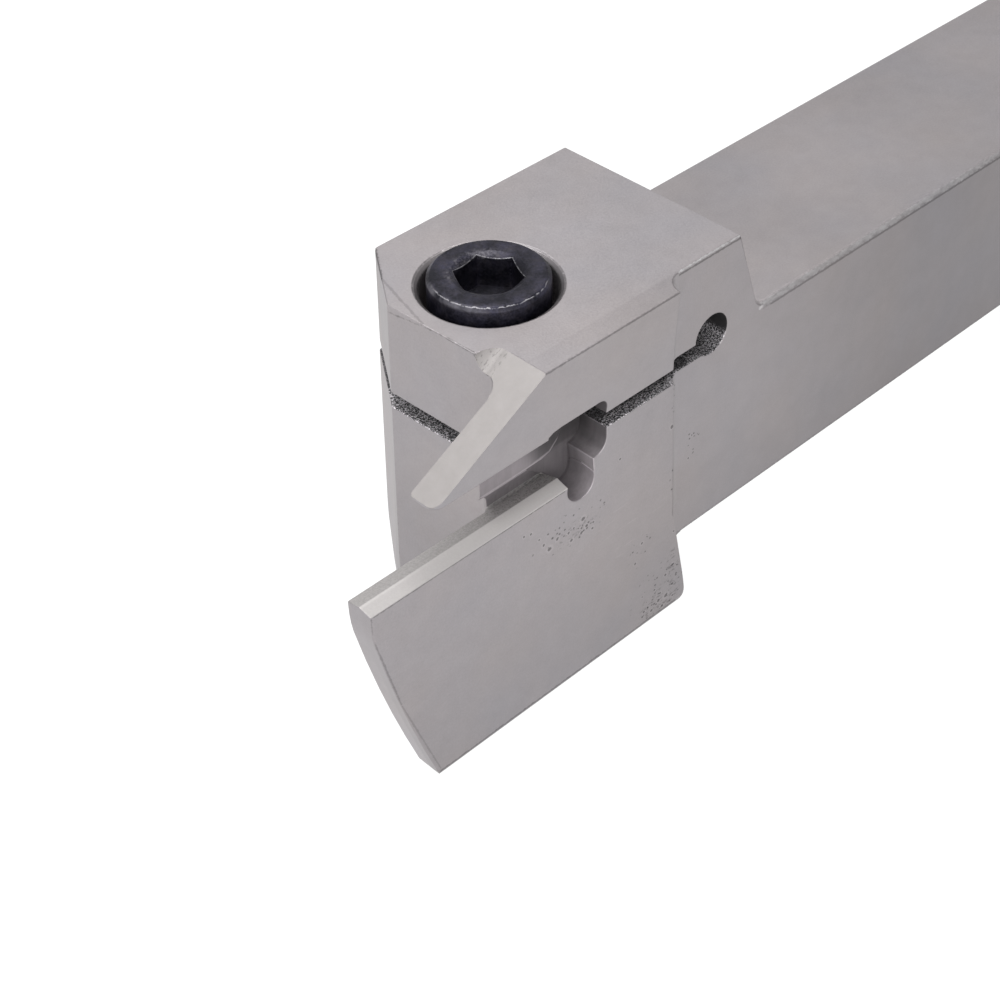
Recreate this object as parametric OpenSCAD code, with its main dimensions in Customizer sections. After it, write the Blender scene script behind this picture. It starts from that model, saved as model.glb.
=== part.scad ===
// External parting and grooving tool holder, right hand, shown with no insert in it.
// The holder is one piece of steel: a square shank, a head block, a thin blade that carries
// the insert and a clamp jaw that a slot frees from the block. A socket head cap screw
// through the jaw pulls it down. Millimetres. The origin is the centre of the shank's
// underside, +X points to the cutting end, +Y to the blade's side and +Z up.

/* [Shank] */
// Height of the shank
shank_height = 20; // [16:0.5:32]
// Width of the shank
shank_width = 20; // [16:0.5:32]
// Length from the tip of the blade to the back end of the shank
tool_length = 125; // [100:1:170]
// Bevel along the shank's upper edge on the blade's side
shank_bevel = 0.45; // [0.1:0.05:1.5]
// Bevel along the shank's upper edge on the far side
far_bevel = 0.75; // [0.1:0.05:1.5]
// Bevel along the shank's two lower edges
lower_bevel = 0.15; // [0.1:0.05:1.5]
// Bevel round the shank's back end
end_bevel = 1; // [0.2:0.1:2]

/* [Head] */
// Height of the head's top face above the shank's top
head_rise = 8.7; // [6:0.1:14]
// Depth of the head below the shank's underside
head_drop = 7.9; // [2:0.05:12]
// Clamp screw axis to the head's front face
head_front = 7.2; // [6.8:0.1:12]
// Clamp screw axis back to the head's rear top edge
head_rear = 19.1; // [17:0.1:30]
// How far the head's rear face runs back from its top edge to the shank's top
rear_slant = 3; // [0.5:0.1:6]
// Radius where the head's rear face meets the shank
rear_radius = 1.2; // [0.4:0.1:2.5]
// Clamp screw axis back to where the shank's underside starts
underside_start = 12.1; // [9:0.1:16]
// How far the lower rear face runs back from the underside to the head's bottom
lower_slant = 1.67; // [0.1:0.01:4]
// Radius of the lower rear corner
rear_corner = 1.8; // [0.2:0.1:2.5]
// Radius where the lower rear face meets the shank's underside
under_radius = 1.2; // [0.4:0.1:2.5]
// Radius along the head's lower edge, on the blade's side
foot_radius = 1.35; // [0.3:0.05:2]
// Corner taken off the head's outer front edge, measured along the tool
corner_along = 4.2; // [1:0.1:7]
// Corner taken off the head's outer front edge, measured across the tool
corner_across = 6.15; // [1:0.05:9]
// Angle of the head's front face in plan, the outer end further forward
front_skew = 1.9; // [0:0.1:5]
// Lean of the head's front face, forward towards its bottom, in degrees
front_lean = 1.1; // [0:0.1:3]
// Radius that draws the front face back above the head's bottom
front_radius = 43; // [25:1:100]
// Height of that curved part
front_curve = 10.35; // [1:0.05:12]

/* [Proud side of the head] */
// How far the blade's side stands out from the shank's side
side_proud = 0.95; // [0.3:0.05:1.5]
// Further lean of the jaw's side, from the slot up to the top face
jaw_lean = 1; // [0:0.05:1.6]
// Clamp screw axis back to the end of the proud side, at the top face
proud_rear = 11.66; // [10:0.02:14]
// How much further back the proud side ends at the shank's underside
proud_slant = 1.45; // [0:0.05:4]
// Height above the underside where the proud side's end takes the slant of the lower rear face
proud_bend = 3.8; // [0.5:0.1:6]
// Radius of the cutter that left the step behind the proud side
step_radius = 2; // [1.96:0.02:3]

/* [Blade and insert seat] */
// Clamp screw axis to the tip of the blade
blade_reach = 22.9; // [18:0.1:30]
// Thickness of the blade, as the finger above it
blade_thick = 2.7; // [2:0.05:5]
// Top of the head down to the edges of the insert seat
seat_depth = 13.8; // [13:0.1:18]
// Height of the ridge along the middle of the seat
ridge_height = 0.28; // [0.1:0.02:0.8]
// Height of the upright part of the blade's front edge, below the seat
blade_upright = 2.1; // [0.5:0.1:5]
// How far the blade's front edge runs back from there to the bottom
blade_rake = 6.2; // [1:0.1:9]
// Radius of the blade's front edge below the upright part
blade_curve = 150; // [60:1:400]
// Radius between the upright part and that curve
blade_blend = 15; // [3:1:20]
// Radius of the blade's lower front corner
blade_corner = 1.2; // [0.2:0.1:2]

/* [Clamp jaw] */
// Top of the head down to the slot under the jaw
slot_top = 8.54; // [8:0.02:11]
// Height of the slot
slot_height = 1.48; // [0.6:0.02:2]
// Radius of the hole that ends the slot
hinge_radius = 1.96; // [1.2:0.02:3]
// Clamp screw axis back to the hole's centre
hinge_back = 16.15; // [15:0.05:20]
// Top of the head down to the hole's centre
hinge_depth = 8.43; // [8:0.01:11]
// Clamp screw axis to the end of the clamping finger
finger_reach = 16.2; // [12:0.1:22]
// Top of the head down to the finger's underside
finger_depth = 7.5; // [7:0.05:8.4]
// Clamp screw axis to the top of the finger's sloped back
slope_start = 5.3; // [5:0.1:7]
// Thickness left at the finger's nose
nose_thick = 0.14; // [0.1:0.02:1.5]
// Radius of the nose's near corner
nose_radius = 0.9; // [0.2:0.05:1.2]
// Radius of the nose's far corner
nose_far_radius = 0.4; // [0.2:0.05:1]
// Blade's inner side across to the far wall of the sloped cut
slope_side = 2; // [0.5:0.1:4]
// Radius along the foot of that wall
slope_radius = 1.3; // [0.5:0.1:2]
// Radius between the head's front face and the finger
finger_root = 1.25; // [0.5:0.05:2.5]
// Radius between the head's front face and the blade
blade_root = 1.67; // [0.5:0.01:2.5]

/* [Insert pocket] */
// Clamp screw axis to the rear end of the seat
seat_end = 2.1; // [1:0.1:4]
// Clamp screw axis back to the deepest point of the relief above the stop
stop_back = 2.5; // [2:0.05:4]
// Rise of the pocket's ceiling above the finger's underside
ceiling_rise = 0.64; // [0.2:0.02:1]
// Radius of the relief above the stop
upper_relief = 1.45; // [0.8:0.05:1.8]
// Radius of the relief behind the seat
lower_relief = 1.54; // [0.8:0.02:1.8]
// Extra depth of the pocket's wall beside the two reliefs
relief_step = 0.3; // [0.1:0.02:0.8]
// Depth of the undercut along the foot of the pocket's wall
undercut_depth = 0.46; // [0.1:0.02:1]
// Height of that undercut's lip above the seat's edge
undercut_height = 1.6; // [1:0.1:3]

/* [Clamp screw] */
// Clamp screw's place across the tool, from the middle of the shank
screw_side = 0.3; // [-1:0.05:1]
// Thread diameter of the screw
screw_thread = 6; // [4:0.5:6]
// Head diameter of the screw
cap_diameter = 10; // [7:0.1:10.4]
// Head height of the screw
cap_height = 6; // [4:0.1:7]
// How far the screw's head stands above the top face
cap_proud = 1; // [-0.5:0.1:1.5]
// Length of the screw under its head
screw_length = 20; // [16:1:24]
// Width across the flats of the hexagon socket
hex_across = 5; // [3:0.5:5]
// Depth of the hexagon socket
hex_depth = 3; // [2:0.1:4]
// Angle at which the tightened screw's hexagon stands
hex_turn = 9; // [0:1:59]
// Rounded-off edge of the screw's head
cap_bevel = 0.35; // [0.1:0.05:1]
// Diameter of the counterbore in the jaw
counterbore = 11.2; // [10.6:0.1:12]
// Bevel round the counterbore's mouth
mouth_bevel = 0.45; // [0.1:0.05:1]
// Gap all round between the screw and the hole that it turns in
thread_gap = 0.05; // [0.02:0.01:0.1]

/* [Hidden] */
$fn = 96;
eps = 0.01;

half = shank_width / 2;
top = shank_height + head_rise;                 // the head's top face
low = -head_drop;                               // the head's bottom
front_off = underside_start + blade_reach;      // blade tip to the start of the underside
flat_length = tool_length - front_off;          // length of the shank's underside
back = -flat_length / 2;                        // the shank's back end
start = flat_length / 2;                        // where the head starts at the underside
screw_x = start + underside_start;              // the clamp screw's axis along the tool
face = screw_x + head_front;                    // the head's front face
tip = screw_x + blade_reach;                    // the blade's tip
near = half + side_proud;                       // the blade's outer side
wall = near - blade_thick;                      // the blade's inner side, the pocket's wall
seat = top - seat_depth;                        // the seat's edges
slot_roof = top - slot_top;
slot_floor = slot_roof - slot_height;
finger_under = top - finger_depth;
nose = screw_x + finger_reach;
lean_angle = atan(jaw_lean / slot_top);
finger_side = near + jaw_lean * (finger_under - slot_roof) / slot_top;  // its near side, at its underside
front_depth = 14;                               // how far back the shaped front of the head is drawn
head_span = head_rear + rear_slant + 4 * rear_radius;  // clamp screw axis back past the whole head
cap_seat = top + cap_proud - cap_height;        // the counterbore's floor
clear_radius = screw_thread / 2 + 0.3;          // the plain hole through the jaw
bore_radius = screw_thread / 2 + thread_gap;    // the hole below the slot
screw_end = cap_seat - screw_length;

// ---- small helpers -------------------------------------------------------------

// a side view drawn in X and Z, made solid from y0 to y1
module across(y0, y1) {
    translate([0, y1, 0]) rotate([90, 0, 0]) linear_extrude(height = y1 - y0) children();
}

// an end view drawn in Y and Z, made solid from x0 to x1
module along(x0, x1) {
    translate([x0, 0, 0]) rotate([90, 0, 90]) linear_extrude(height = x1 - x0) children();
}

// a rectangle with its four corners cut at 45 degrees
module bevelled(x0, y0, x1, y1, b) {
    polygon([[x0 + b, y0], [x1 - b, y0], [x1, y0 + b], [x1, y1 - b],
             [x1 - b, y1], [x0 + b, y1], [x0, y1 - b], [x0, y0 + b]]);
}

// the fillet that fills an inside corner at the origin, towards +X and -Y
module corner_fill(r) {
    difference() {
        translate([-1, -r]) square([r + 1, r + 1]);
        translate([r, -r]) circle(r);
    }
}

// ---- the holder ----------------------------------------------------------------

// the square bar, with bevels along its edges and round its back end
module shank() {
    intersection() {
        along(back, start + 3)
            polygon([[-half + lower_bevel, 0], [half - lower_bevel, 0], [half, lower_bevel],
                     [half, shank_height - shank_bevel], [half - shank_bevel, shank_height],
                     [-half + far_bevel, shank_height], [-half, shank_height - far_bevel],
                     [-half, lower_bevel]]);
        across(-half, half) bevelled(back, 0, screw_x, shank_height, end_bevel);
        linear_extrude(height = shank_height) bevelled(back, -half, screw_x, half, end_bevel);
    }
}

// side view of the head block, with its slanted rear faces; its front is cut in plan
module head_side() {
    turn = atan(head_rise / rear_slant);
    foot = screw_x - head_rear - rear_slant;
    reach = rear_radius * tan(turn / 2);
    under = atan(head_drop / lower_slant);
    run = under_radius / tan(under / 2);
    polygon([[face + 4, low], [face + 4, top], [screw_x - head_rear, top], [foot, shank_height],
             [foot + 4, shank_height - 4], [start, 0], [start - lower_slant, low]]);
    // the radius between the rear face and the shank's top
    difference() {
        polygon([[foot + 1, shank_height - 0.5], [foot - reach, shank_height - 0.5],
                 [foot - reach, shank_height],
                 [foot + reach * cos(turn), shank_height + reach * sin(turn)], [foot + 1.5, shank_height + 1]]);
        translate([foot - reach, shank_height + rear_radius]) circle(rear_radius);
    }
    // the radius between the underside and the lower rear face
    difference() {
        polygon([[start + 1, 0.5], [start - run, 0.5], [start - run, 0],
                 [start - run * cos(under), -run * sin(under)], [start + 1.5, -1]]);
        translate([start - run, -under_radius]) circle(under_radius);
    }
}

// plan of the head block from x0 on, with the outer front corner taken off
module head_plan(x0) {
    skew_run = (wall + half - corner_across) * tan(front_skew);
    polygon([[x0, -half], [face - corner_along, -half],
             [face + skew_run, -half + corner_across], [face, wall], [face, half], [x0, half]]);
}

// the same with the radius between the front face and the blade
module root_plan(x0) {
    head_plan(x0);
    translate([face, wall]) corner_fill(blade_root);
}

// leans its children forward about the head's front top edge
module leaned() {
    translate([face, 0, top]) rotate([0, -front_lean, 0]) translate([-face, 0, -top]) children();
}

// the head's front: upright in its upper part, running back on a radius near its bottom
module head_front() {
    rear = face - front_depth;
    bend = low + front_curve;
    leaned() translate([0, 0, slot_floor]) linear_extrude(height = top - slot_floor + 2) head_plan(rear);
    leaned() translate([0, 0, bend]) linear_extrude(height = slot_floor + 0.2 - bend) root_plan(rear);
    leaned() translate([face - front_radius, 0, bend]) intersection() {
        rotate([90, 0, 0]) rotate_extrude($fn = 360)
            translate([front_radius - face, 0]) mirror([0, 1]) root_plan(rear);
        translate([front_radius - front_depth - 2, -half - 1, -2 * front_curve])
            cube([2 * front_depth, shank_width + 2, 2 * front_curve + eps]);
    }
}

// what the rounding takes off the lower rear corner, in side view
module rear_round() {
    lean = atan(lower_slant / head_drop);
    run = rear_corner / tan((90 - lean) / 2);
    translate([start - lower_slant, low]) difference() {
        polygon([[run, rear_corner], [run, -1], [-2, -1], [-2, run * cos(lean)],
                 [run * sin(lean), run * cos(lean)]]);
        translate([run, rear_corner]) circle(rear_corner);
    }
}

// end view of the proud side, upright beside the blade and leaning out beside the jaw
module proud_end() {
    polygon([[half - 1, low], [near, low], [near, slot_roof], [near + jaw_lean, top], [half - 1, top]]);
}

module head_block() {
    intersection() {
        across(-half, half) difference() {
            head_side();
            rear_round();
        }
        union() {
            head_front();
            translate([screw_x - head_span, -half, low - 1])
                cube([head_span + head_front - front_depth + 2, shank_width, top - low + 2]);
        }
    }
    // the side that carries the blade stands out, and ends behind in the cutter's radius
    behind = screw_x - proud_rear - proud_slant * (1 - proud_bend / top);
    difference() {
        intersection() {
            along(screw_x - 20, face) proud_end();
            across(half - 2, near + 3) difference() {
                polygon([[face, low], [face, top], [screw_x - proud_rear, top], [behind, proud_bend],
                         [start + lower_slant * proud_bend / head_drop, proud_bend],
                         [start - lower_slant, low]]);
                rear_round();
            }
        }
        translate([behind, half + step_radius, proud_bend])
            rotate([0, atan(proud_slant / top), 0])
                cylinder(r = step_radius, h = top + 4);
    }
}

// side view of the blade: a front edge that starts upright and then runs back on a wide
// radius, a straight seat and a rounded lower front corner
module blade_side() {
    bend = seat - blade_upright;
    drop = bend - low;
    chord = sqrt(drop * drop + blade_rake * blade_rake);
    lean = atan(blade_rake / drop);
    sweep = asin(chord / 2 / blade_curve);
    centre_off = blade_curve * cos(sweep);
    mid = [tip - blade_rake / 2, (bend + low) / 2];
    upper = lean - sweep;                            // the curve's slant at its upper end
    lower = lean + sweep;                            // and at its lower end
    blend_run = blade_blend * tan(upper / 2);
    corner_run = blade_corner / tan((90 + lower) / 2);
    difference() {
        intersection() {
            translate([mid[0] - centre_off * cos(lean), mid[1] + centre_off * sin(lean)])
                circle(blade_curve, $fn = 720);
            translate([screw_x - 6, low]) square([tip - screw_x + 6, top - low]);
        }
        translate([tip, bend]) difference() {
            polygon([[-0.5, 0], [0, blend_run], [1, blend_run], [1, -blend_run * cos(upper)],
                     [-blend_run * sin(upper), -blend_run * cos(upper)]]);
            translate([-blade_blend, blend_run]) circle(blade_blend, $fn = 360);
        }
        translate([tip - blade_rake, low]) difference() {
            polygon([[-corner_run, blade_corner], [-corner_run, -1], [3, -1],
                     [3, corner_run * cos(lower)], [corner_run * sin(lower), corner_run * cos(lower)]]);
            translate([-corner_run, blade_corner]) circle(blade_corner);
        }
    }
}

// the blade, with the ridge that the insert's grooved underside sits on
module blade() {
    intersection() {
        across(wall, near) blade_side();
        along(screw_x - 4, tip + 1)
            polygon([[wall, low], [near, low], [near, seat],
                     [near - blade_thick / 2, seat + ridge_height], [wall, seat]]);
    }
}

// what the rounding takes off the head's and the blade's lower near edge, in end view
module foot_round() {
    translate([near - foot_radius, low + foot_radius]) difference() {
        translate([0, -foot_radius - 1]) square(foot_radius + 1);
        circle(foot_radius);
    }
}

// plan of the finger from its near corner back, with both corners of the nose rounded
module nose_plan() {
    width = finger_side - wall;
    difference() {
        translate([-finger_reach, -width - 1]) square([finger_reach, width + 2]);
        translate([-nose_radius, -nose_radius]) difference() {
            square(nose_radius + 2);
            circle(nose_radius);
        }
        translate([-nose_far_radius, nose_far_radius - width]) difference() {
            translate([0, -nose_far_radius - 2]) square(nose_far_radius + 2);
            circle(nose_far_radius);
        }
    }
}

// the clamping finger, which leans with the jaw's side and tapers to its nose
module finger() {
    intersection() {
        along(face - 3, nose)
            polygon([[near - blade_thick, finger_under], [near - blade_thick / 2, finger_under - 0.15],
                     [finger_side, finger_under],
                     [near + jaw_lean, top], [near + jaw_lean - blade_thick, top]]);
        across(wall - 2, near + 3)
            polygon([[face - 3, finger_under - 1], [nose, finger_under - 1],
                     [nose, finger_under + nose_thick], [screw_x + slope_start, top], [face - 3, top]]);
        translate([nose, finger_side, finger_under]) rotate([-lean_angle, 0, 0])
            translate([0, 0, -1]) linear_extrude(height = finger_depth + 3) nose_plan();
    }
}

// the radius between the head's front face and the finger, leaning as the finger does
module finger_fillet() {
    intersection() {
        leaned() translate([face, wall, finger_under]) rotate([-lean_angle, 0, 0])
            translate([0, 0, -2]) linear_extrude(height = finger_depth + 4) corner_fill(finger_root);
        across(wall - 4, near + 3)
            polygon([[face - 2, slot_roof], [nose, slot_roof],
                     [nose, finger_under + nose_thick], [screw_x + slope_start, top], [face - 2, top]]);
    }
}

// the sloped cut that makes the finger's back and starts in the head's top face; its far wall
// stands on the cutter's corner radius
module slope_cut() {
    fall = atan((finger_depth - nose_thick) / (finger_reach - slope_start));
    far = wall - slope_side;
    translate([screw_x + slope_start, 0, top]) rotate([0, fall, 0])
        along(-1, 2 * finger_reach) translate([far, 0]) difference() {
            square([near + 3 - far, 2 * finger_depth]);
            difference() {
                translate([-1, -1]) square(slope_radius + 1);
                translate([slope_radius, slope_radius]) circle(slope_radius);
            }
        }
}

// side view of the insert pocket, with the reliefs round the insert's stop
module pocket_side() {
    roof = finger_under + ceiling_rise;
    stop = screw_x - stop_back;
    // the corner between the two reliefs is the stop that the insert meets
    polygon([[screw_x + 4.7, finger_under], [screw_x + 3.7, roof - 0.1], [screw_x + 2.8, roof],
             [stop + 1.1, roof], [stop + 0.1, roof - 1], [stop + 0.1, slot_floor - 0.4],
             [stop + 1.5, top - 12.4], [stop + 1.35, top - 14], [screw_x + seat_end, seat],
             [tip + 5, seat], [tip + 5, finger_under]]);
    translate([stop + 1.1, roof - 1]) circle(1);
    translate([stop + upper_relief, top - 10.95]) circle(upper_relief);
    translate([stop, slot_floor - 0.95]) square([1, 1]);
    translate([screw_x + seat_end - lower_relief - 0.16, top - 14.25]) circle(lower_relief);
}

// the pocket, the deeper part of its wall beside the reliefs and the undercut at its foot
module pocket() {
    lip = seat + undercut_height;
    across(wall, near + 4) pocket_side();
    across(wall - relief_step, wall + eps) intersection() {
        pocket_side();
        polygon([[screw_x - 0.5, top], [screw_x - 0.4, lip + 3.6], [screw_x - 0.1, lip + 2],
                 [screw_x + 0.4, lip + 1.06], [screw_x + 1.2, lip + 0.3], [screw_x + 2.2, lip + 0.03],
                 [screw_x + 3.9, lip], [screw_x + 2.4, seat - 0.4], [screw_x + 2.4, seat - 4],
                 [screw_x - 5, seat - 4], [screw_x - 5, top]]);
    }
    intersection() {
        along(screw_x, face + 6)
            polygon([[wall + eps, lip], [wall - undercut_depth, lip - 1.1],
                     [wall - undercut_depth, seat - 0.1], [wall + eps, seat - 0.2]]);
        across(wall - 1, wall + 1)
            polygon([[screw_x + 3.8, lip], [screw_x + 3.3, lip - 0.65], [screw_x + 2.5, lip - 1.35],
                     [screw_x + 1.4, lip - 2.2], [face + 6, lip - 2.2], [face + 6, lip]]);
    }
}

// the slot that frees the jaw, and the hole that it ends in
module flex_slot() {
    across(-half - 1, near + 3)
        translate([screw_x - hinge_back, slot_floor]) square([head_front + hinge_back + 12, slot_height]);
    translate([screw_x - hinge_back, near + 3, top - hinge_depth])
        rotate([90, 0, 0]) cylinder(r = hinge_radius, h = near + half + 4);
}

// counterbore, plain hole through the jaw and tapped hole below the slot
module screw_holes() {
    translate([screw_x, screw_side, 0]) {
        translate([0, 0, cap_seat]) cylinder(r = counterbore / 2, h = top - cap_seat + 1);
        translate([0, 0, top - mouth_bevel])
            cylinder(r1 = counterbore / 2, r2 = counterbore / 2 + mouth_bevel + 0.1, h = mouth_bevel + 0.1);
        translate([0, 0, slot_roof - 0.5]) cylinder(r = clear_radius, h = cap_seat - slot_roof + 1);
        translate([0, 0, screw_end - 2]) cylinder(r = bore_radius, h = slot_roof - screw_end + 1);
    }
}

module holder_body() {
    color([0.72, 0.71, 0.69]) difference() {
        union() {
            shank();
            difference() {
                head_block();
                pocket();
            }
            difference() {
                union() {
                    blade();
                    finger();
                    finger_fillet();
                }
                across(wall - 1, near + 4)
                    translate([screw_x + seat_end - lower_relief - 0.16, top - 14.25]) circle(lower_relief);
            }
        }
        slope_cut();
        along(start - lower_slant - 1, tip + 1) foot_round();
        // the slot stops at the finger and the pocket, which are open already
        flex_slot();
        screw_holes();
    }
}

// ---- the clamp screw -----------------------------------------------------------

module clamp_screw() {
    color([0.12, 0.12, 0.13])
    translate([screw_x, screw_side, cap_seat]) difference() {
        union() {
            rotate_extrude() polygon([[0, 0], [cap_diameter / 2 - 0.2, 0], [cap_diameter / 2, 0.2],
                [cap_diameter / 2, cap_height - cap_bevel],
                [cap_diameter / 2 - cap_bevel, cap_height], [0, cap_height]]);
            translate([0, 0, -screw_length]) rotate_extrude()
                polygon([[0, 0], [screw_thread / 2 - 0.7, 0], [screw_thread / 2, 0.7],
                         [screw_thread / 2, screw_length + 1], [0, screw_length + 1]]);
        }
        translate([0, 0, cap_height - hex_depth]) rotate([0, 0, hex_turn])
            cylinder(r = hex_across / sqrt(3), h = hex_depth + 1, $fn = 6);
        // the drilled cone at the bottom of the socket
        translate([0, 0, cap_height - hex_depth - 0.9])
            cylinder(r1 = 0, r2 = hex_across / 2 - 0.05, h = 0.9 + eps);
        // the small countersink at the socket's mouth
        translate([0, 0, cap_height - 0.3])
            cylinder(r1 = hex_across / 2, r2 = hex_across / sqrt(3) + 0.25, h = 0.3 + eps);
    }
}

holder_body();
clamp_screw();
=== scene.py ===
import math

import bmesh
import bpy
import numpy as np
from mathutils import Matrix


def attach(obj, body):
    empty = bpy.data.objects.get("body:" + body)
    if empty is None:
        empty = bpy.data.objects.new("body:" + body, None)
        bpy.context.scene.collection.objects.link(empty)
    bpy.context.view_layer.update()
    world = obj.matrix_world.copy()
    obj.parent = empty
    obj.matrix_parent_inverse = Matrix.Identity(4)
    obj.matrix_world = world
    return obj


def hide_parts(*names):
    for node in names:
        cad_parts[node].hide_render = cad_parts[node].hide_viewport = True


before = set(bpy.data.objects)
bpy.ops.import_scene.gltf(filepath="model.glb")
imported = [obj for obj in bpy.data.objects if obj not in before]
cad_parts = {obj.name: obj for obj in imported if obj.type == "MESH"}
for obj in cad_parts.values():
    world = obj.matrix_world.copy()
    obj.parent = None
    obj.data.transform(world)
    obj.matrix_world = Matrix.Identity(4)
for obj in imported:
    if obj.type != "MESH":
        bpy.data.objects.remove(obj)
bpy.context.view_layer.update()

# ---- The studio ------------------------------------------------------------------
# A white table and white surroundings, as in a catalogue picture. A wide softbox above lights the
# tops, one ahead the sloped finger and the front, and a faint one the blade's side.

mm = 0.001
scene = bpy.context.scene
scene.view_settings.view_transform = "Standard"

camera_data = bpy.data.cameras.new("camera")
camera_data.sensor_width = 36.0
camera_data.lens = 70.91
camera_data.shift_x, camera_data.shift_y = -0.0002, -0.0056
camera_data.clip_start, camera_data.clip_end = 0.01, 10.0
camera = bpy.data.objects.new("camera", camera_data)
scene.collection.objects.link(camera)
# the camera is solved from the straight edges in the photo: the directions of the picture's right, of
# its foot and of the view, and where it stands in millimetres
right, down, ahead = (-0.7165, 0.6974, -0.0182), (0.4623, 0.4550, -0.7611), (-0.5225, -0.5537, -0.6484)
stand = (145.37, 94.55, 116.75)
camera.matrix_world = Matrix([[right[i], -down[i], -ahead[i], stand[i] * mm] for i in range(3)]
                             + [[0, 0, 0, 1]])
scene.camera = camera

floor_mesh = bpy.data.meshes.new("studio_floor")
floor_z, floor_reach = -7.92 * mm, 3.0      # just under the blade's foot; three metres each way
floor_mesh.from_pydata([(-floor_reach, -floor_reach, floor_z), (floor_reach, -floor_reach, floor_z),
                        (floor_reach, floor_reach, floor_z), (-floor_reach, floor_reach, floor_z)],
                       [], [(0, 1, 2, 3)])
floor = bpy.data.objects.new("studio_floor", floor_mesh)
scene.collection.objects.link(floor)
floor_paint = bpy.data.materials.new("white_table")
floor_paint.use_nodes = True
table_shader = floor_paint.node_tree.nodes["Principled BSDF"]
table_shader.inputs["Base Color"].default_value = (0.10, 0.10, 0.10, 1)
table_shader.inputs["Roughness"].default_value = 0.9
table_shader.inputs["Specular IOR Level"].default_value = 0.0
table_shader.inputs["Emission Color"].default_value = (1, 1, 1, 1)
table_shader.inputs["Emission Strength"].default_value = 0.97
floor_mesh.materials.append(floor_paint)

world = bpy.data.worlds.new("studio")
scene.world = world
world.use_nodes = True
world.node_tree.nodes["Background"].inputs["Color"].default_value = (1, 1, 1, 1)
world.node_tree.nodes["Background"].inputs["Strength"].default_value = 0.58


def softbox(name, place, aim, size, watts):
    """A white area light of the given edge, at place, turned to aim. Places and size in millimetres."""
    data = bpy.data.lights.new(name, "AREA")
    data.shape, data.size, data.energy = "SQUARE", size * mm, watts
    lamp = bpy.data.objects.new(name, data)
    scene.collection.objects.link(lamp)
    back = np.array(place, float) - np.array(aim, float)
    back /= np.linalg.norm(back)
    side = np.cross((0, 0, 1), back)
    side /= np.linalg.norm(side)
    up = np.cross(back, side)
    lamp.matrix_world = Matrix([[side[i], up[i], back[i], place[i] * mm] for i in range(3)]
                               + [[0, 0, 0, 1]])


softbox("softbox_above", (55, -60, 420), (40, 0, 20), 400, 1.95)
softbox("softbox_ahead", (330, 60, 180), (65, 0, 10), 300, 0.88)
softbox("softbox_blade_side", (140, 230, 90), (70, 10, 5), 200, 0.38)

# ---- The holder ------------------------------------------------------------------
# One piece of hardened alloy steel, milled and ground, with a satin blasted skin. The slot under
# the jaw and its end hole are wire cut, and the seat's ridge is ground last, so it is the brightest.

# places on the holder in millimetres, as in part.scad
head_top, shank_top, foot_edge = 28.7, 20.0, -6.85      # heights; the last is where the foot rounds
near_y, shank_y = 10.95, 10.0                           # the blade's side and the shank's side
tip_x, back_x = 80.0, -45.0                             # the blade's tip and the shank's back end
slot_floor, slot_roof = 18.68, 20.16
hole_x, hole_z, hole_radius = 40.95, 20.27, 1.96        # the hole that ends the slot
axis_x, axis_y = 57.1, 0.3                              # the clamp screw's axis
slope_x, slope_run, slope_drop = 62.4, 10.9, 7.36       # the sloped cut starts at the head's top
seat_z, wall_y = 14.9, 8.25                             # the insert's seat and the pocket's far wall
far_corner_y, flatter = -3.85, 0.55                     # the far front corner, and its shift here
corner_y = far_corner_y + flatter
same_place = 0.002 * mm

steel_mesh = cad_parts["holder_body"].data.copy()
steel_mesh.name = "steel_holder"
steel_mesh.materials.clear()
grown = bmesh.new()
grown.from_mesh(steel_mesh)
bmesh.ops.remove_doubles(grown, verts=grown.verts, dist=same_place)
# a triangle with no height is closed: its longest edge is split at the third corner and joined to it
for face in grown.faces[:]:
    longest = max(face.edges, key=lambda edge: edge.calc_length())
    length = longest.calc_length()
    if len(face.verts) == 3 and 2 * face.calc_area() / length < 0.004 * mm:
        apex = [v for v in face.verts if v not in longest.verts][0]
        first, second = longest.verts
        share = (apex.co - first.co).dot(second.co - first.co) / length ** 2
        bmesh.utils.edge_split(longest, first, share)[1].co = apex.co
bmesh.ops.remove_doubles(grown, verts=grown.verts, dist=same_place)
bmesh.ops.dissolve_limit(grown, angle_limit=math.radians(0.6), verts=grown.verts, edges=grown.edges)
# the head's far front corner is cut a little flatter than drawn: its upright edge moves in along the
# front face. Then the top of that edge is ground off, by a cut through three points.
for vertex in grown.verts:
    x, y, z = vertex.co / mm
    if abs(y - far_corner_y) < 0.05 and 64.2 < x < 66:
        vertex.co.x, vertex.co.y = (x - 0.018) * mm, (y + flatter) * mm
above = head_top + 0.05
corner = [np.array(point) * mm
          for point in ((62.6, -6.4, above), (64.6, 2.0, above), (64.8, corner_y, 28.0))]
slant = np.cross(corner[1] - corner[0], corner[2] - corner[0])
slant *= np.sign(slant[2])
cut = bmesh.ops.bisect_plane(grown, geom=grown.verts[:] + grown.edges[:] + grown.faces[:], dist=1e-7,
                             plane_co=corner[0], plane_no=slant, clear_outer=True)
bmesh.ops.edgenet_fill(grown, edges=[e for e in cut["geom_cut"] if isinstance(e, bmesh.types.BMEdge)])
bmesh.ops.recalc_face_normals(grown, faces=grown.faces)
grown.normal_update()

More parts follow.
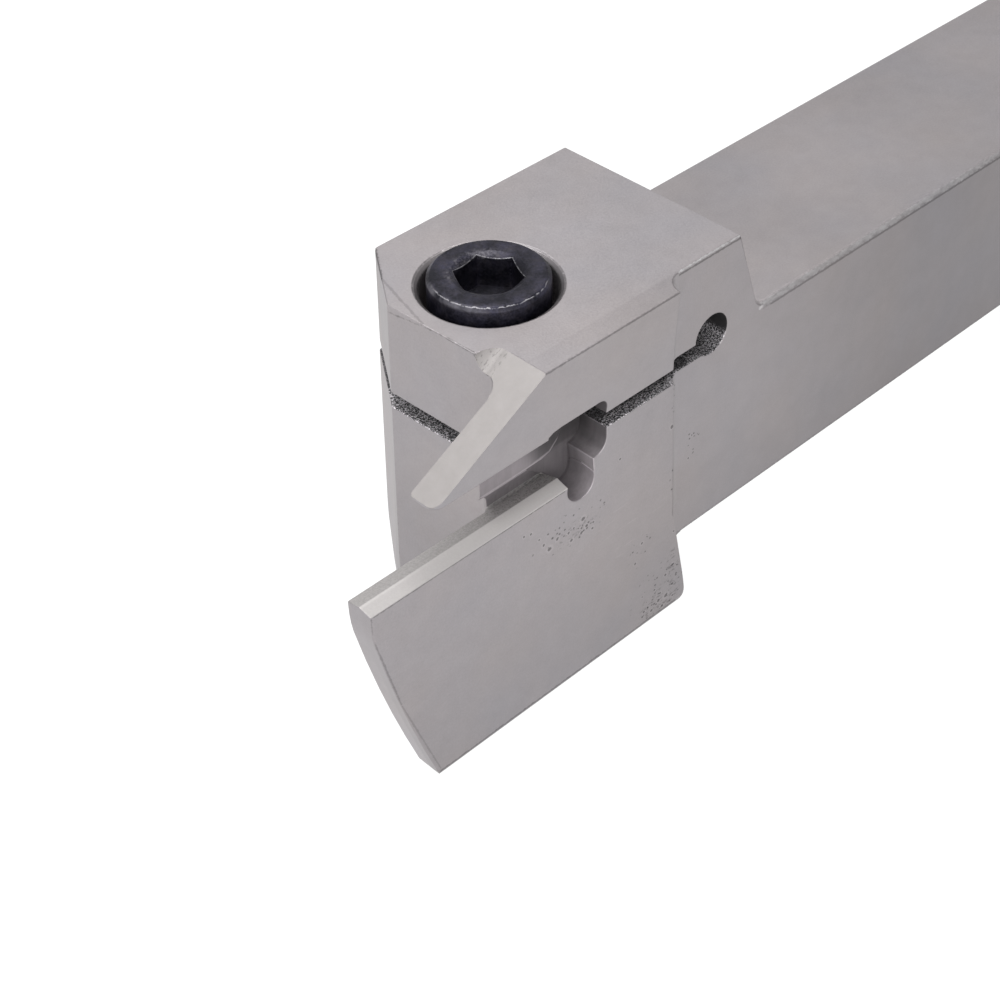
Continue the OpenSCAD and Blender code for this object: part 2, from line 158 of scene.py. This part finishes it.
# which finish each face has; the sloped cut ends in the finger's back
satin_face, wire_face, pocket_face, seat_face, slope_face = range(5)
slope_length = math.hypot(slope_run, slope_drop)
for face in grown.faces:
    x, y, z = face.calc_center_median() / mm
    nx, ny, nz = face.normal
    over_slope = ((x - slope_x) * slope_drop + (z - head_top) * slope_run) / slope_length
    in_slot = abs(nz) > 0.99 and min(abs(z - slot_floor), abs(z - slot_roof)) < 0.03 and abs(ny) < 0.1
    in_hole = abs(ny) < 0.2 and math.hypot(x - hole_x, z - hole_z) < hole_radius + 0.04
    by_slope = y > 6 and 61 < x < 74 and 21.2 < z < 28.65 and nx > -0.1 and -0.1 < over_slope < 2
    in_pocket = y > 7.6 and 54.3 < x < 65.5 and 12.5 < z < 22.2 and (abs(ny) < 0.9 or y < wall_y + 0.01)
    on_seat = nz > 0.9 and x > 59 and z < seat_z + 0.4
    if in_slot or in_hole:
        face.material_index = wire_face
    elif by_slope:
        face.material_index = slope_face if over_slope < 0.6 or ny > 0.3 else satin_face
    elif in_pocket:
        face.material_index = seat_face if on_seat else pocket_face
    elif on_seat and y > 8.2 and z > seat_z - 0.1:
        face.material_index = seat_face

# every edge sharper than 20 degrees is broken by a fine bevel; its weight is a share of the widest
widest_bevel = 0.8 * mm
bevel_layer = grown.edges.layers.float.new("bevel_weight_edge")
for edge in grown.edges:
    if len(edge.link_faces) != 2 or edge.calc_face_angle_signed() < math.radians(20):
        continue
    x, y, z = (edge.verts[0].co + edge.verts[1].co) / 2 / mm
    finishes = {face.material_index for face in edge.link_faces}
    broken = 0.09 if finishes & {wire_face, pocket_face, seat_face} else 0.146
    if slope_face in finishes:
        broken = 0.0
    if y < -9.9 and shank_top < z < 28 and x > 37:      # the head's two far upright corners are rounder
        broken = 1.0
    if abs(y - near_y) < 0.01 and x > 73.5 and z < 14.8:      # the blade's front edge is rubbed
        broken = 0.22
    if 62.5 < x < 64.7 and y < 6.3 and z > 28.5:      # along the top of the front face
        broken = 0.05
    if abs(y - near_y) < 0.01 and 44.5 < x < 47.5 and z < 28:      # the step to the shank stays sharp
        broken = 0.0
    if z < -6.3 and x > 70 or edge.calc_length() < 0.05 * mm:      # and the foot under the tip
        broken = 0.0
    edge[bevel_layer] = broken
# shading runs smoothly over an edge of up to 24 degrees, or 50 between two of the pocket's walls
for face in grown.faces:
    face.smooth = True
for edge in grown.edges:
    both_pocket = all(face.material_index == pocket_face for face in edge.link_faces)
    edge.smooth = abs(edge.calc_face_angle_signed()) < math.radians(50 if both_pocket else 24)
grown.to_mesh(steel_mesh)
grown.free()

holder = bpy.data.objects.new("steel_holder", steel_mesh)
scene.collection.objects.link(holder)
edge_break = holder.modifiers.new("edge_break", "BEVEL")
edge_break.limit_method = "WEIGHT"
edge_break.width = widest_bevel
edge_break.segments = 2
edge_break.use_clamp_overlap = False
flat_faces = holder.modifiers.new("flat_faces", "WEIGHTED_NORMAL")
flat_faces.weight = 100
flat_faces.keep_sharp = True


class Value:
    """A number, vector or colour in a finish's node tree. Operators on numbers add Math nodes."""

    def __init__(self, finish, socket):
        self.finish, self.socket = finish, socket

    def math(self, operation, *others):
        """A Math node on this value and the others."""
        return self.finish.value("ShaderNodeMath", {"operation": operation}, enumerate((self, *others)))

    def __add__(self, other): return self.math("ADD", other)
    def __radd__(self, other): return self.math("ADD", other)
    def __sub__(self, other): return self.math("SUBTRACT", other)
    def __rsub__(self, other): return (self * -1).math("ADD", other)
    def __mul__(self, other): return self.math("MULTIPLY", other)
    def __rmul__(self, other): return self.math("MULTIPLY", other)
    def __truediv__(self, other): return self.math("DIVIDE", other)
    def __pow__(self, other): return self.math("POWER", other)
    def __abs__(self): return self.math("ABSOLUTE")

    def larger(self, other):
        """The larger of the two values."""
        return self.math("MAXIMUM", other)

    def between(self, low, high):
        """0 below low, 1 above high and a smooth rise between; high may be the lower one."""
        return self.finish.value("ShaderNodeMapRange", {"interpolation_type": "SMOOTHSTEP"}, {
            "Value": self, "From Min": min(low, high), "From Max": max(low, high),
            "To Min": float(low > high), "To Max": float(low < high)})

    def colour(self, first, second):
        """The first colour where the value is 0 and the second where it is 1."""
        # a Mix node's sockets 6 and 7 are its two colours, and its output 2 is the mixed one
        first, second = (c if isinstance(c, Value) else (*c, 1) for c in (first, second))
        return self.finish.value("ShaderNodeMix", {"data_type": "RGBA"},
                                 {0: self, 6: first, 7: second}, output=2)


class Finish:
    """A material: its Principled shader, and textures on Object coordinates in millimetres."""

    def __init__(self, name):
        self.material = bpy.data.materials.new(name)
        self.material.use_nodes = True
        self.tree = self.material.node_tree
        self.shader = self.tree.nodes["Principled BSDF"]
        self.place = self.scaled(self.value("ShaderNodeTexCoord", output="Object"), 1 / mm)
        split = self.node("ShaderNodeSeparateXYZ", {}, {0: self.place})
        self.x, self.y, self.z = (Value(self, split.outputs[i]) for i in range(3))

    def plug(self, value, socket):
        """The socket takes the value: a link from a Value, or else a plain number or vector."""
        if isinstance(value, Value):
            self.tree.links.new(value.socket, socket)
        else:
            socket.default_value = value

    def node(self, kind, settings, values):
        """A node of that kind: its settings are set first, then its sockets, by number or name."""
        made = self.tree.nodes.new(kind)
        for name, setting in dict(settings).items():
            setattr(made, name, setting)
        for key, value in dict(values).items():
            self.plug(value, made.inputs[key])
        return made

    def value(self, kind, settings=(), values=(), output=0):
        """One output of a new node."""
        return Value(self, self.node(kind, settings, values).outputs[output])

    def vector(self, operation, *inputs, output=0):
        """A Vector Math node: output 0 is its vector and output 1 its number."""
        return self.value("ShaderNodeVectorMath", {"operation": operation}, enumerate(inputs), output)

    def scaled(self, vector, factor):
        """A vector or a colour times a number."""
        return self.value("ShaderNodeVectorMath", {"operation": "SCALE"}, {0: vector, "Scale": factor})

    def stretched(self, x, y, z):
        """The place with its three lengths multiplied, for patterns that run one way."""
        return self.vector("MULTIPLY", self.place, (x, y, z))

    def noise(self, per_mm, detail=2.0, rough=0.5, where=None):
        """Noise from 0 to 1, around 0.5, with that many cells a millimetre."""
        return self.value("ShaderNodeTexNoise", {}, {
            "Vector": where or self.place, "Scale": per_mm, "Detail": detail, "Roughness": rough})

    def cells(self, per_mm, where):
        """Distance to the nearest of scattered points, in cells, and a random number for each cell."""
        made = self.node("ShaderNodeTexVoronoi", {}, {"Vector": where, "Scale": per_mm})
        chance = self.value("ShaderNodeSeparateColor", {}, {0: Value(self, made.outputs["Color"])})
        return Value(self, made.outputs["Distance"]), chance

    def near_segment(self, a, b):
        """Distance in millimetres from the line between two points."""
        a, b = np.array(a, float), np.array(b, float)
        along = b - a
        offset = self.vector("SUBTRACT", self.place, tuple(a))
        share = self.vector("DOT_PRODUCT", offset, tuple(along / (along @ along)), output=1)
        share = self.value("ShaderNodeMath", {"operation": "MULTIPLY", "use_clamp": True},
                           {0: share, 1: 1.0})
        foot = self.scaled(tuple(along), share)
        return self.vector("LENGTH", self.vector("SUBTRACT", offset, foot), output=1)

    def set(self, **sockets):
        """The Principled shader's sockets take these values or links."""
        for name, value in sockets.items():
            self.plug(value, self.shader.inputs[name.replace("_", " ")])

    def bump(self, height, depth_mm):
        """Relief: a height of 0 to 1 stands for that depth."""
        self.set(Normal=self.value("ShaderNodeBump", {}, {
            "Height": height, "Distance": depth_mm * mm, "Strength": 1.0}))


# satin skin: fine blasted grain, broad faint clouds, pits and scratches on the blade's side. Every
# tone multiplies the steel's colour, so 1 leaves it as it is.
warm_steel, cool_steel, highlight_steel = (0.340, 0.314, 0.317), (0.324, 0.308, 0.322), (0.86, 0.85, 0.86)
satin = Finish("satin_steel")
clouds = satin.noise(0.06, 3.0, 0.5)
patches = satin.noise(0.55, 3.0, 0.6)
grain = satin.noise(5.5, 2.0, 0.6)
ragged = satin.noise(2.2, 3.0, 0.7)
hue = (satin.noise(0.09, 2.0, 0.5, satin.stretched(1.0, 1.3, 1.0)) - 0.5) * 2.6 + 0.5
near_side = satin.y.between(shank_y - 0.3, shank_y)
tone = (clouds - 0.5) * 0.16 + (patches - 0.5) * 0.15 + (grain - 0.5) * 0.24 + 1.0
# painted shade: the near side darkens towards the back and the foot
backwards = satin.x.between(66, 42) * 0.08 + satin.x.between(45, 4) * 0.22
tone = tone * (1.0 - near_side * (backwards + 0.03))
tone = tone * (1.0 - near_side * satin.z.between(12, -7) * 0.11)
# painted light: the two tops are lighter, most of all at their backs
on_head_top = satin.z.between(head_top - 0.10, head_top - 0.01)
tone = tone * (1.0 + on_head_top * (satin.x.between(54, 42) * 0.06 + 0.15))
on_shank_top = satin.z.between(shank_top - 0.15, shank_top - 0.05)
on_shank_top = on_shank_top * satin.z.between(shank_top + 0.15, shank_top + 0.05)
on_shank_top = on_shank_top * satin.y.between(shank_y - 0.05, shank_y - 0.15)
tone = tone * (1.0 + on_shank_top * (satin.x.between(40, 8) * 0.10 + 0.11))
# painted shade: the front face darkens downwards, and the bevel at its far side upwards
on_front = satin.x.between(64.0, 64.2) * satin.x.between(66.0, 65.6) * satin.y.between(8.0, 7.0)
tone = tone * (1.0 - on_front * satin.z.between(16, 6) * 0.10)
on_bevel = satin.y.between(-3.2, -3.5) * satin.x.between(60.5, 61.0) * satin.z.between(28.5, 28.3)
tone = tone * (1.0 - on_bevel * (satin.z.between(18, 22) * 0.06 + 0.09))


def blob(x, z, reach_x, reach_z):
    """1 in an oval on the blade's side, falling to 0 at its edge."""
    across, up = (satin.x - x) / reach_x, (satin.z - z) / reach_z
    return (across * across + up * up).between(1.0, 0.45)


# the larger pits in the battered patches: along, up and radius in millimetres
nearest = None
on_side = satin.vector("MULTIPLY", satin.place, (1.0, 0.0, 1.0))
for along_x, up_z, radius in (
        (61.1, 9.8, 0.20), (57.2, 10.6, 0.20), (60.2, 10.3, 0.16), (57.4, 9.2, 0.16),
        (58.6, 9.1, 0.15), (56.8, 9.6, 0.14), (61.8, 10.6, 0.13), (56.1, 8.9, 0.12),
        (58.9, 10.1, 0.12), (56.0, 9.5, 0.11), (63.2, 12.7, 0.11), (64.0, 12.9, 0.10),
        (62.3, 11.5, 0.10), (57.4, 9.7, 0.10), (58.3, 10.3, 0.09), (46.3, -5.3, 0.22),
        (47.3, -5.3, 0.17), (45.6, -2.0, 0.15), (46.5, -2.7, 0.12), (46.4, -2.1, 0.09),
        (47.1, -4.5, 0.11), (49.5, -3.4, 0.09), (48.2, -5.9, 0.14), (49.2, -5.4, 0.12),
        (45.5, -4.4, 0.13), (47.9, -3.6, 0.10), (46.8, -6.3, 0.15), (45.4, -5.9, 0.12),
        (49.8, 3.2, 0.13), (50.6, 1.3, 0.12), (46.2, 16.1, 0.15), (46.6, 14.2, 0.16),
        (46.3, 17.1, 0.16), (46.3, 18.2, 0.12), (45.9, 15.8, 0.12), (46.1, 21.8, 0.10),
        (45.8, 24.7, 0.12), (46.0, 25.2, 0.11), (45.7, 4.9, 0.12), (45.4, 7.4, 0.12),
        (44.9, 1.4, 0.10), (45.7, 2.0, 0.09), (43.1, 8.2, 0.09), (42.8, 10.6, 0.09),
        (52.9, 14.4, 0.10)):
    off = satin.vector("DISTANCE", on_side, (along_x, 0.0, up_z), output=1) / radius
    nearest = off if nearest is None else nearest.math("MINIMUM", off)
nearest = nearest + (ragged - 0.5) * 2.2
# the patches themselves, where small pits lie close together
battered = blob(58.6, 10.4, 5.2, 2.2)
for oval in ((47.3, -4.0, 4.2, 3.8), (49.8, 2.3, 1.8, 2.0), (46.0, 15.0, 0.8, 13.0),
             (42.6, 10.8, 1.0, 2.8)):
    battered = battered.larger(blob(*oval))
spread, chance = satin.cells(1.9, satin.stretched(1.0, 0.05, 1.15))
small = (spread + (ragged - 0.5) * 0.6).between(0.27, 0.12) * chance.between(0.36, 0.40) * battered
pit = nearest.between(1.25, 0.75).larger(small * 0.95) * near_side
rim = nearest.between(2.6, 1.5) * near_side
# faint light scratches below and behind the pocket, and dark ones in the patches' hearts
rubbed = satin.noise(1.0, 2.0, 0.6, satin.stretched(0.22, 1.0, 3.4)).between(0.62, 0.70)
rubbed = rubbed * near_side * blob(52.0, 8.5, 9.0, 7.0)
scuffed = satin.noise(2.6, 3.0, 0.75, satin.stretched(0.7, 1.0, 1.4)).between(0.54, 0.61) * near_side
hearts = blob(47.0, -5.2, 3.0, 2.0).larger(blob(45.5, -2.2, 1.1, 2.6))
scuffed = scuffed * hearts.larger(blob(58.2, 9.8, 3.0, 1.4) * 0.7)
tone = tone * (1.0 + rim * 0.10 - pit * 0.62 + rubbed * 0.06 - scuffed * 0.36)

# edges painted dark with ragged painted shade along edges and creases: start, end, half width in
# millimetres and how dark
for start, end, width, depth in (
        ((64.60, 2.0, head_top), (64.35, 6.25, head_top), 0.15, 0.45),
        ((64.80, corner_y, 28.0), (64.60, 2.0, 28.68), 0.12, 0.42),
        ((60.2, -9.8, head_top), (62.6, -6.4, head_top), 0.20, 0.45),
        ((62.6, -6.4, head_top), (64.5, 0.6, head_top), 0.14, 0.22),
        ((64.35, 6.25, 28.5), (64.3, 7.6, 27.4), 0.14, 0.42),
        ((64.3, 8.1, 27.3), (65.2, 8.6, 26.8), 0.14, 0.35),
        ((64.8, corner_y, 28.0), (65.25, corner_y, 2.4), 0.10, 0.22),
        ((tip_x, near_y, 14.7), (tip_x, near_y, 12.8), 0.13, 0.36),
        ((tip_x, near_y, 12.8), (77.6, near_y, 3.6), 0.11, 0.30),
        ((77.6, near_y, 3.6), (74.0, near_y, -6.4), 0.09, 0.22),
        ((tip_x, near_y, seat_z), (59.5, near_y, seat_z), 0.13, 0.36),
        ((slope_x, 11.95, head_top), (47.5, 11.95, head_top), 0.16, 0.24),
        ((47.3, 11.9, head_top), (45.9, 10.4, head_top), 0.18, 0.55),
        ((45.4, shank_y, 28.40), (38.0, shank_y, 28.40), 0.12, 0.50),
        ((33.2, shank_y, 19.48), (back_x, shank_y, 19.48), 0.11, 0.30),
        ((38.0, shank_y, 28.5), (34.9, shank_y, 20.4), 0.12, 0.30),
        ((74.0, near_y, foot_edge), (45.0, near_y, foot_edge), 0.20, 0.50),
        ((44.0, shank_y, 0.1), (back_x, shank_y, 0.1), 0.30, 0.22),
        ((slope_x, 8.2, head_top), (slope_x, 11.9, head_top), 0.10, 0.20),
        ((62.6, 11.9, 28.6), (72.6, 11.2, 21.8), 0.08, 0.16)):
    line = (satin.near_segment(start, end) / width + (ragged - 0.5) * 2.4).between(1.2, 0.4)
    tone = tone * (1.0 - line * depth)

# painted highlights along edges, broken up: start, end, half width in millimetres and how bright
bright = None
for start, end, width, gain in (
        ((45.5, shank_y, head_top), (38.1, shank_y, head_top), 0.11, 1.0),
        ((34.6, 9.82, 19.82), (back_x, 9.82, 19.82), 0.27, 0.42),
        ((46.6, near_y, 26.0), (45.6, near_y, 3.8), 0.12, 0.12)):
    line = (satin.near_segment(start, end) / width + (ragged - 0.5) * 1.8).between(1.15, 0.6) * gain
    bright = line if bright is None else bright.larger(line)

# the bevel round the counterbore lies between two fine dark lines
around = ((satin.x - axis_x) ** 2 + (satin.y - axis_y) ** 2).math("SQRT")
outer_line = abs(around - 6.06).between(0.12, 0.03)
inner_line = abs(around - 5.68).between(0.10, 0.03)
ring = outer_line.larger(inner_line) * satin.z.between(28.0, 28.15)
tone = tone * (1.0 - ring * 0.5 * ragged.between(0.25, 0.5))

# the painted highlights turn patchy, lighter and smoother where they lie
painted_highlight_patches = satin.noise(3.0, 3.0, 0.6, satin.stretched(0.4, 1.0, 1.0)).between(0.1, 0.8) * bright
skin = satin.scaled(hue.colour(warm_steel, cool_steel), tone)
satin.set(Base_Color=painted_highlight_patches.colour(skin, highlight_steel), Metallic=1.0,
          Roughness=(grain - 0.5) * 0.12 + (clouds - 0.5) * 0.08 + 0.45 - painted_highlight_patches * 0.12)
satin.bump((grain - 0.5) * 0.6 + (ragged - 0.5) * 0.4 + 0.5 - pit * 0.9 + rim * 0.2, 0.014)

# wire-cut slot and hole: a dark skin with bright craters, left smooth and dark by painted shade on the
# roof and the hole's upper half
wire = Finish("wire_cut_steel")
speckle = wire.noise(8.0, 2.0, 0.8)
craters_and_shade = (wire.z + (wire.noise(1.5) - 0.5) * 0.8).between(20.0, 19.2)
# smooth beside the pocket's upper relief; painted shade dims the specks away from the slot's open edges
# and in the hole
by_relief = wire.x.between(54.4, 54.8) * wire.x.between(60.0, 59.5) * wire.y.between(10.2, 9.8)
craters_and_shade = craters_and_shade * (1.0 - by_relief)
hole = wire.x.between(43.6, 43.2)
shaded = 1.0 - wire.y.between(9.6, 10.1).larger(wire.x.between(63.1, 63.6)).larger(hole)
speck = speckle.between(0.48, 0.58) * craters_and_shade * (1.0 - shaded * 0.75) * (1.0 - hole * 0.34)
wire.set(Base_Color=wire.scaled((0.36, 0.345, 0.36), speck * 2.25 + 0.09), Metallic=0.6,
         Roughness=0.62 - speck * 0.2)
wire.bump(speckle * craters_and_shade, 0.03)

# milled pocket: darker, with faint upright streaks from the cutter and a painted highlight on the lip
# over the undercut. Painted shade darkens the upper relief and the undercut; behind the seat, painted
# light makes it lightest at the near side.
milled = Finish("milled_pocket_steel")
streaks = milled.noise(1.0, 2.0, 0.6, milled.stretched(3.2, 3.2, 0.25))
blotch = milled.noise(0.6, 3.0, 0.6)
milled_tone = (streaks - 0.5) * 0.22 + (blotch - 0.5) * 0.25 + 0.64
upper_relief = milled.z.between(16.2, 16.9) * milled.x.between(61.0, 58.5)
undercut = milled.y.between(8.22, 8.15) * milled.z.between(16.6, 16.4)
milled_tone = milled_tone * (1.0 - upper_relief * 0.52) * (1.0 - undercut * 0.20)
beside_seat = milled.x.between(59.5, 61.0)
nearwards = milled.y.between(8.0, 10.9) * (1.0 - beside_seat)
milled_tone = milled_tone * (nearwards * 0.50 + beside_seat * 0.28 + 0.70)
# painted shade: dark towards the ceiling, most of all on the far wall behind the stop, and a little
# painted light just above the lip
ceiling = milled.z.between(17.3, 20.6)
above_lip = beside_seat * milled.z.between(16.5, 16.7)
milled_tone = milled_tone * (1.0 - ceiling * beside_seat * 0.42) * (1.0 + above_lip * 0.09)
behind_stop = milled.x.between(62.0, 60.6) * milled.y.between(9.4, 8.5) * milled.z.between(16.6, 18.0)
milled_tone = milled_tone * (1.0 - behind_stop * 0.30) * (1.0 - ceiling * (1.0 - beside_seat) * 0.22)
lip = None
for start, end in (((66.5, wall_y, 16.5), (60.8, wall_y, 16.5)),
                   ((60.8, wall_y, 16.5), (58.4, 8.2, 16.8)),
                   ((58.4, 8.2, 16.8), (57.1, 8.2, 17.9))):
    line = milled.near_segment(start, end).between(0.26, 0.07)
    lip = line if lip is None else lip.larger(line)
milled.set(Base_Color=milled.scaled((0.36, 0.328, 0.345), milled_tone + lip * 0.42),
           Metallic=0.5, Roughness=(blotch - 0.5) * 0.12 + 0.58)
milled.bump(streaks, 0.008)

# ground seat: bright, with a finely rough far flank; painted light makes the near flank lighter towards
# the stop, where the finger shades it
seat = Finish("ground_seat_steel")
far_flank = seat.y.between(9.65, 9.55)
grit = seat.noise(5.0, 2.0, 0.7)
deeper = seat.x.between(74, 60)
seat_tone = (grit - 0.5) * (far_flank * 0.35 + 0.15) + 1.04
seat_tone = seat_tone + deeper * 0.5 - far_flank * (deeper * 0.45 + 0.16)
seat_tone = seat_tone - far_flank * deeper * seat.noise(6.0, 2.0, 0.8).between(0.5, 0.6) * 0.30
seat_tone = seat_tone * (1.0 - seat.x.between(70, 77) * seat.y.between(9.7, 9.9) * 0.12)
seat.set(Base_Color=seat.scaled((0.362, 0.347, 0.342), seat_tone), Metallic=0.7, Roughness=0.6)
seat.bump(grit, 0.010)

# the sloped cut: evenly ground, with a far wall darkened by painted shade, that has a few dark
# scratches
slope = Finish("ground_slope_steel")
haze = slope.noise(0.8, 3.0, 0.6)
scratch = slope.noise(1.0, 2.0, 0.6, slope.stretched(2.4, 9.0, 2.4)).between(0.57, 0.63)
scratch = scratch * slope.y.between(8.3, 7.9) * slope.z.between(26.6, 27.2)
far_wall = slope.y.between(8.0, 6.8)
slope_tone = (haze - 0.5) * 0.18 + 0.86 - far_wall * 0.20 - scratch * 0.22
slope.set(Base_Color=slope.scaled((0.362, 0.343, 0.337), slope_tone), Metallic=1.0, Roughness=0.58)
slope.bump(haze + slope.noise(5.5) * 0.3, 0.012)

for finish in (satin, wire, milled, seat, slope):
    steel_mesh.materials.append(finish.material)
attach(holder, "holder")
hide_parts("holder_body")

# ---- The clamp screw -------------------------------------------------------------
# An M6 socket head cap screw, cold formed and thread rolled, in black oxide. The edge of its
# head and the mouth of its hexagon are scuffed bright by the key; the head's edge also has a painted
# highlight.

# heights, radii and lengths in millimetres
cap_seat, cap_top, screw_end, socket_floor, socket_tip = 23.7, 29.7, 3.7, 26.7, 25.85
cap_radius, shaft_radius, pitch, half_flats = 5.0, 2.97, 1.0, 2.5
mouth_radius, cone_fall, cone_run = 3.12, 0.36, 0.62
columns = 144      # points round each ring
hexagon_turn = np.radians(6.0)
turn = hexagon_turn + np.arange(columns) * 2 * np.pi / columns
# the hexagon's radius at a column: half its width over the cosine of the angle from a flat's middle
hexagon = half_flats / np.cos((turn - hexagon_turn) % (np.pi / 3) - np.pi / 6)
# the mouth's cone falls inwards from a circle just outside the hexagon's corners
mouth = cap_top - cone_fall * (mouth_radius - hexagon) / cone_run


def ring_at(radius, height):
    """One ring of points round the screw's axis; radius and height may differ from column to column."""
    radius, height = np.broadcast_to(radius, columns), np.broadcast_to(height, columns)
    return np.stack([axis_x + radius * np.cos(turn), axis_y + radius * np.sin(turn), height], axis=1)


# from the cone that ends the socket up its walls, over the mouth's cone, the top and the bevel, and
# down the cap and the shaft
wall_foot = socket_floor + 0.05
wall_height = mouth - 0.04 - wall_foot
rings = [ring_at(1.2, 26.24), ring_at(2.42, socket_floor), ring_at(hexagon - 0.03, socket_floor),
         ring_at(hexagon, wall_foot)]
rings += [ring_at(hexagon, wall_foot + wall_height * share) for share in (0.35, 0.7, 1.0)]
edge_row = len(rings)
rings += [ring_at(hexagon + 0.02, mouth - 0.012), ring_at(hexagon + 0.07, mouth + 0.035)]
rings += [ring_at(radius, cap_top - drop) for radius, drop in (
    (3.07, 0.03), (3.11, 0.008), (3.17, 0.0), (3.7, 0.0), (4.2, 0.0), (4.58, 0.0),
    (4.66, 0.02), (4.73, 0.08), (4.93, 0.28), (4.985, 0.35))]
rings += [ring_at(cap_radius, cap_top - drop) for drop in (0.44, 1.5, 3.0, 4.5, 5.75)]
rings += [ring_at(radius, cap_seat + rise) for radius, rise in (
    (4.95, 0.08), (4.82, 0.0), (3.4, 0.0), (3.0, -0.02), (shaft_radius, -0.4))]
# the thread: the radius follows a trapezoid wave of height over pitch minus angle over one turn. It
# reaches its full depth in 1.2 millimetres
thread_start, thread_depth = cap_seat - 1.6, 0.6
for height in np.arange(thread_start, 4.45, -0.1):
    wave = (height / pitch - turn / (2 * np.pi)) % 1.0
    crest = np.clip(1.25 * np.abs(2 * wave - 1) - 0.125, 0, 1)
    full = min((thread_start - height) / 1.2, 1.0) * thread_depth
    rings.append(ring_at(shaft_radius - full * (1 - crest), height))
rings += [ring_at(2.62, 4.2), ring_at(2.3, 3.74), ring_at(2.2, screw_end), ring_at(1.0, screw_end)]


def closed_rings(name, rings, first_pole, last_pole):
    """A closed skin over the rings, in order, with a fan of triangles to a pole at either end."""
    count, around = len(rings), rings[0].shape[0]
    points = np.vstack(rings + [first_pole, last_pole]) * mm
    row = np.arange(around)
    step = (row + 1) % around
    base = np.arange(count - 1)[:, None] * around
    quads = np.stack([base + row, base + around + row, base + around + step, base + step], axis=2)
    quads = quads.reshape(-1, 4)
    first = np.stack([np.full(around, count * around), row, step], axis=1)
    last = np.stack([np.full(around, count * around + 1), (count - 1) * around + step,
                     (count - 1) * around + row], axis=1)
    mesh = bpy.data.meshes.new(name)
    mesh.from_pydata(points.tolist(), [], quads.tolist() + first.tolist() + last.tolist())
    mesh.shade_smooth()
    mesh.set_sharp_from_angle(angle=math.radians(32))
    made = bpy.data.objects.new(name, mesh)
    scene.collection.objects.link(made)
    return made


screw = closed_rings("cap_screw", rings, [axis_x, axis_y, socket_tip], [axis_x, axis_y, screw_end])

black = Finish("black_oxide_steel")
across, over = black.x - axis_x, black.y - axis_y
out_from_axis = (across * across + over * over).math("SQRT")
smudge = black.noise(0.5, 3.0, 0.6)
fleck = black.noise(5.0, 3.0, 0.7)
wobble = black.noise(1.3, 3.0, 0.7)
# a bright line, broken here and there, along the rim on the side towards the blade: partly rubbed wear,
# partly a painted highlight on the rim's bevel
towards_blade = across * 0.62 + over * 0.78
line = abs(out_from_axis - 4.76 + (wobble - 0.5) * 0.30).between(0.045, 0.01)
line = line * towards_blade.between(0.8, 2.6) * black.z.between(29.1, 29.3)
line = line * (fleck * 0.35 + wobble * 0.9 - 0.1).between(0.38, 0.60)
# grey scuffs from the key round the far half of the socket's mouth, and a greyer bevel at the left
scuff_side = (across * 0.05 + over * -0.95).between(0.8, 2.2)
scuff = out_from_axis.between(3.7, 3.1) * out_from_axis.between(2.5, 2.7) * scuff_side
scuff = scuff * (fleck * 0.6 + wobble * 0.6).between(0.50, 0.95) * black.z.between(29.2, 29.35)
rim_scuff = out_from_axis.between(4.6, 4.75) * (across * 0.8 + over * -0.6).between(0.5, 3.0)
rim_scuff = rim_scuff * smudge.between(0.3, 0.6) * black.z.between(29.1, 29.3)
# the oxide: blue-black to a browner grey in smudges, and darker down in the socket with painted shade
deep = 1.0 - out_from_axis.between(3.0, 2.6) * black.z.between(29.7, 29.3) * 0.40
tint = (wobble * 2.4 - 0.9).colour((0.036, 0.034, 0.057), (0.048, 0.042, 0.047))
blue_black = ((smudge - 0.5) * 2.2 + (fleck - 0.5) * 1.5 + 0.34).colour((0.0025, 0.0022, 0.0068), tint)
# a faint grey crescent on the socket's mouth, on the side towards the blade
crescent = abs(out_from_axis - 2.96).between(0.10, 0.03) * towards_blade.between(1.7, 2.6)
crescent = crescent * (fleck * 0.6 + wobble * 0.6).between(0.40, 0.70)
scuffs = scuff + rim_scuff * 0.60 + crescent * 0.8
dressed = scuffs.colour(black.scaled(blue_black, deep), (0.13, 0.125, 0.14))
black.set(Base_Color=(line * 0.5).colour(dressed, (0.55, 0.54, 0.57)), Metallic=0.6,
          Roughness=(fleck - 0.5) * 0.3 + 0.46)
black.bump(fleck * 0.7 + smudge * 0.3, 0.028)

# the sharp edge between the socket's walls and its mouth is rubbed grey
rubbed_edge = Finish("rubbed_oxide_steel")
patchy = rubbed_edge.noise(3.0, 3.0, 0.7).between(0.35, 0.65)
rubbed_edge.set(Base_Color=patchy.colour((0.016, 0.015, 0.02), (0.20, 0.195, 0.21)),
                Metallic=0.7, Roughness=0.4)
screw.data.materials.append(black.material)
screw.data.materials.append(rubbed_edge.material)
of_edge = np.zeros(len(screw.data.polygons), np.int32)
of_edge[edge_row * columns:(edge_row + 1) * columns] = 1
screw.data.polygons.foreach_set("material_index", of_edge)
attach(screw, "screw")
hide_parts("clamp_screw")
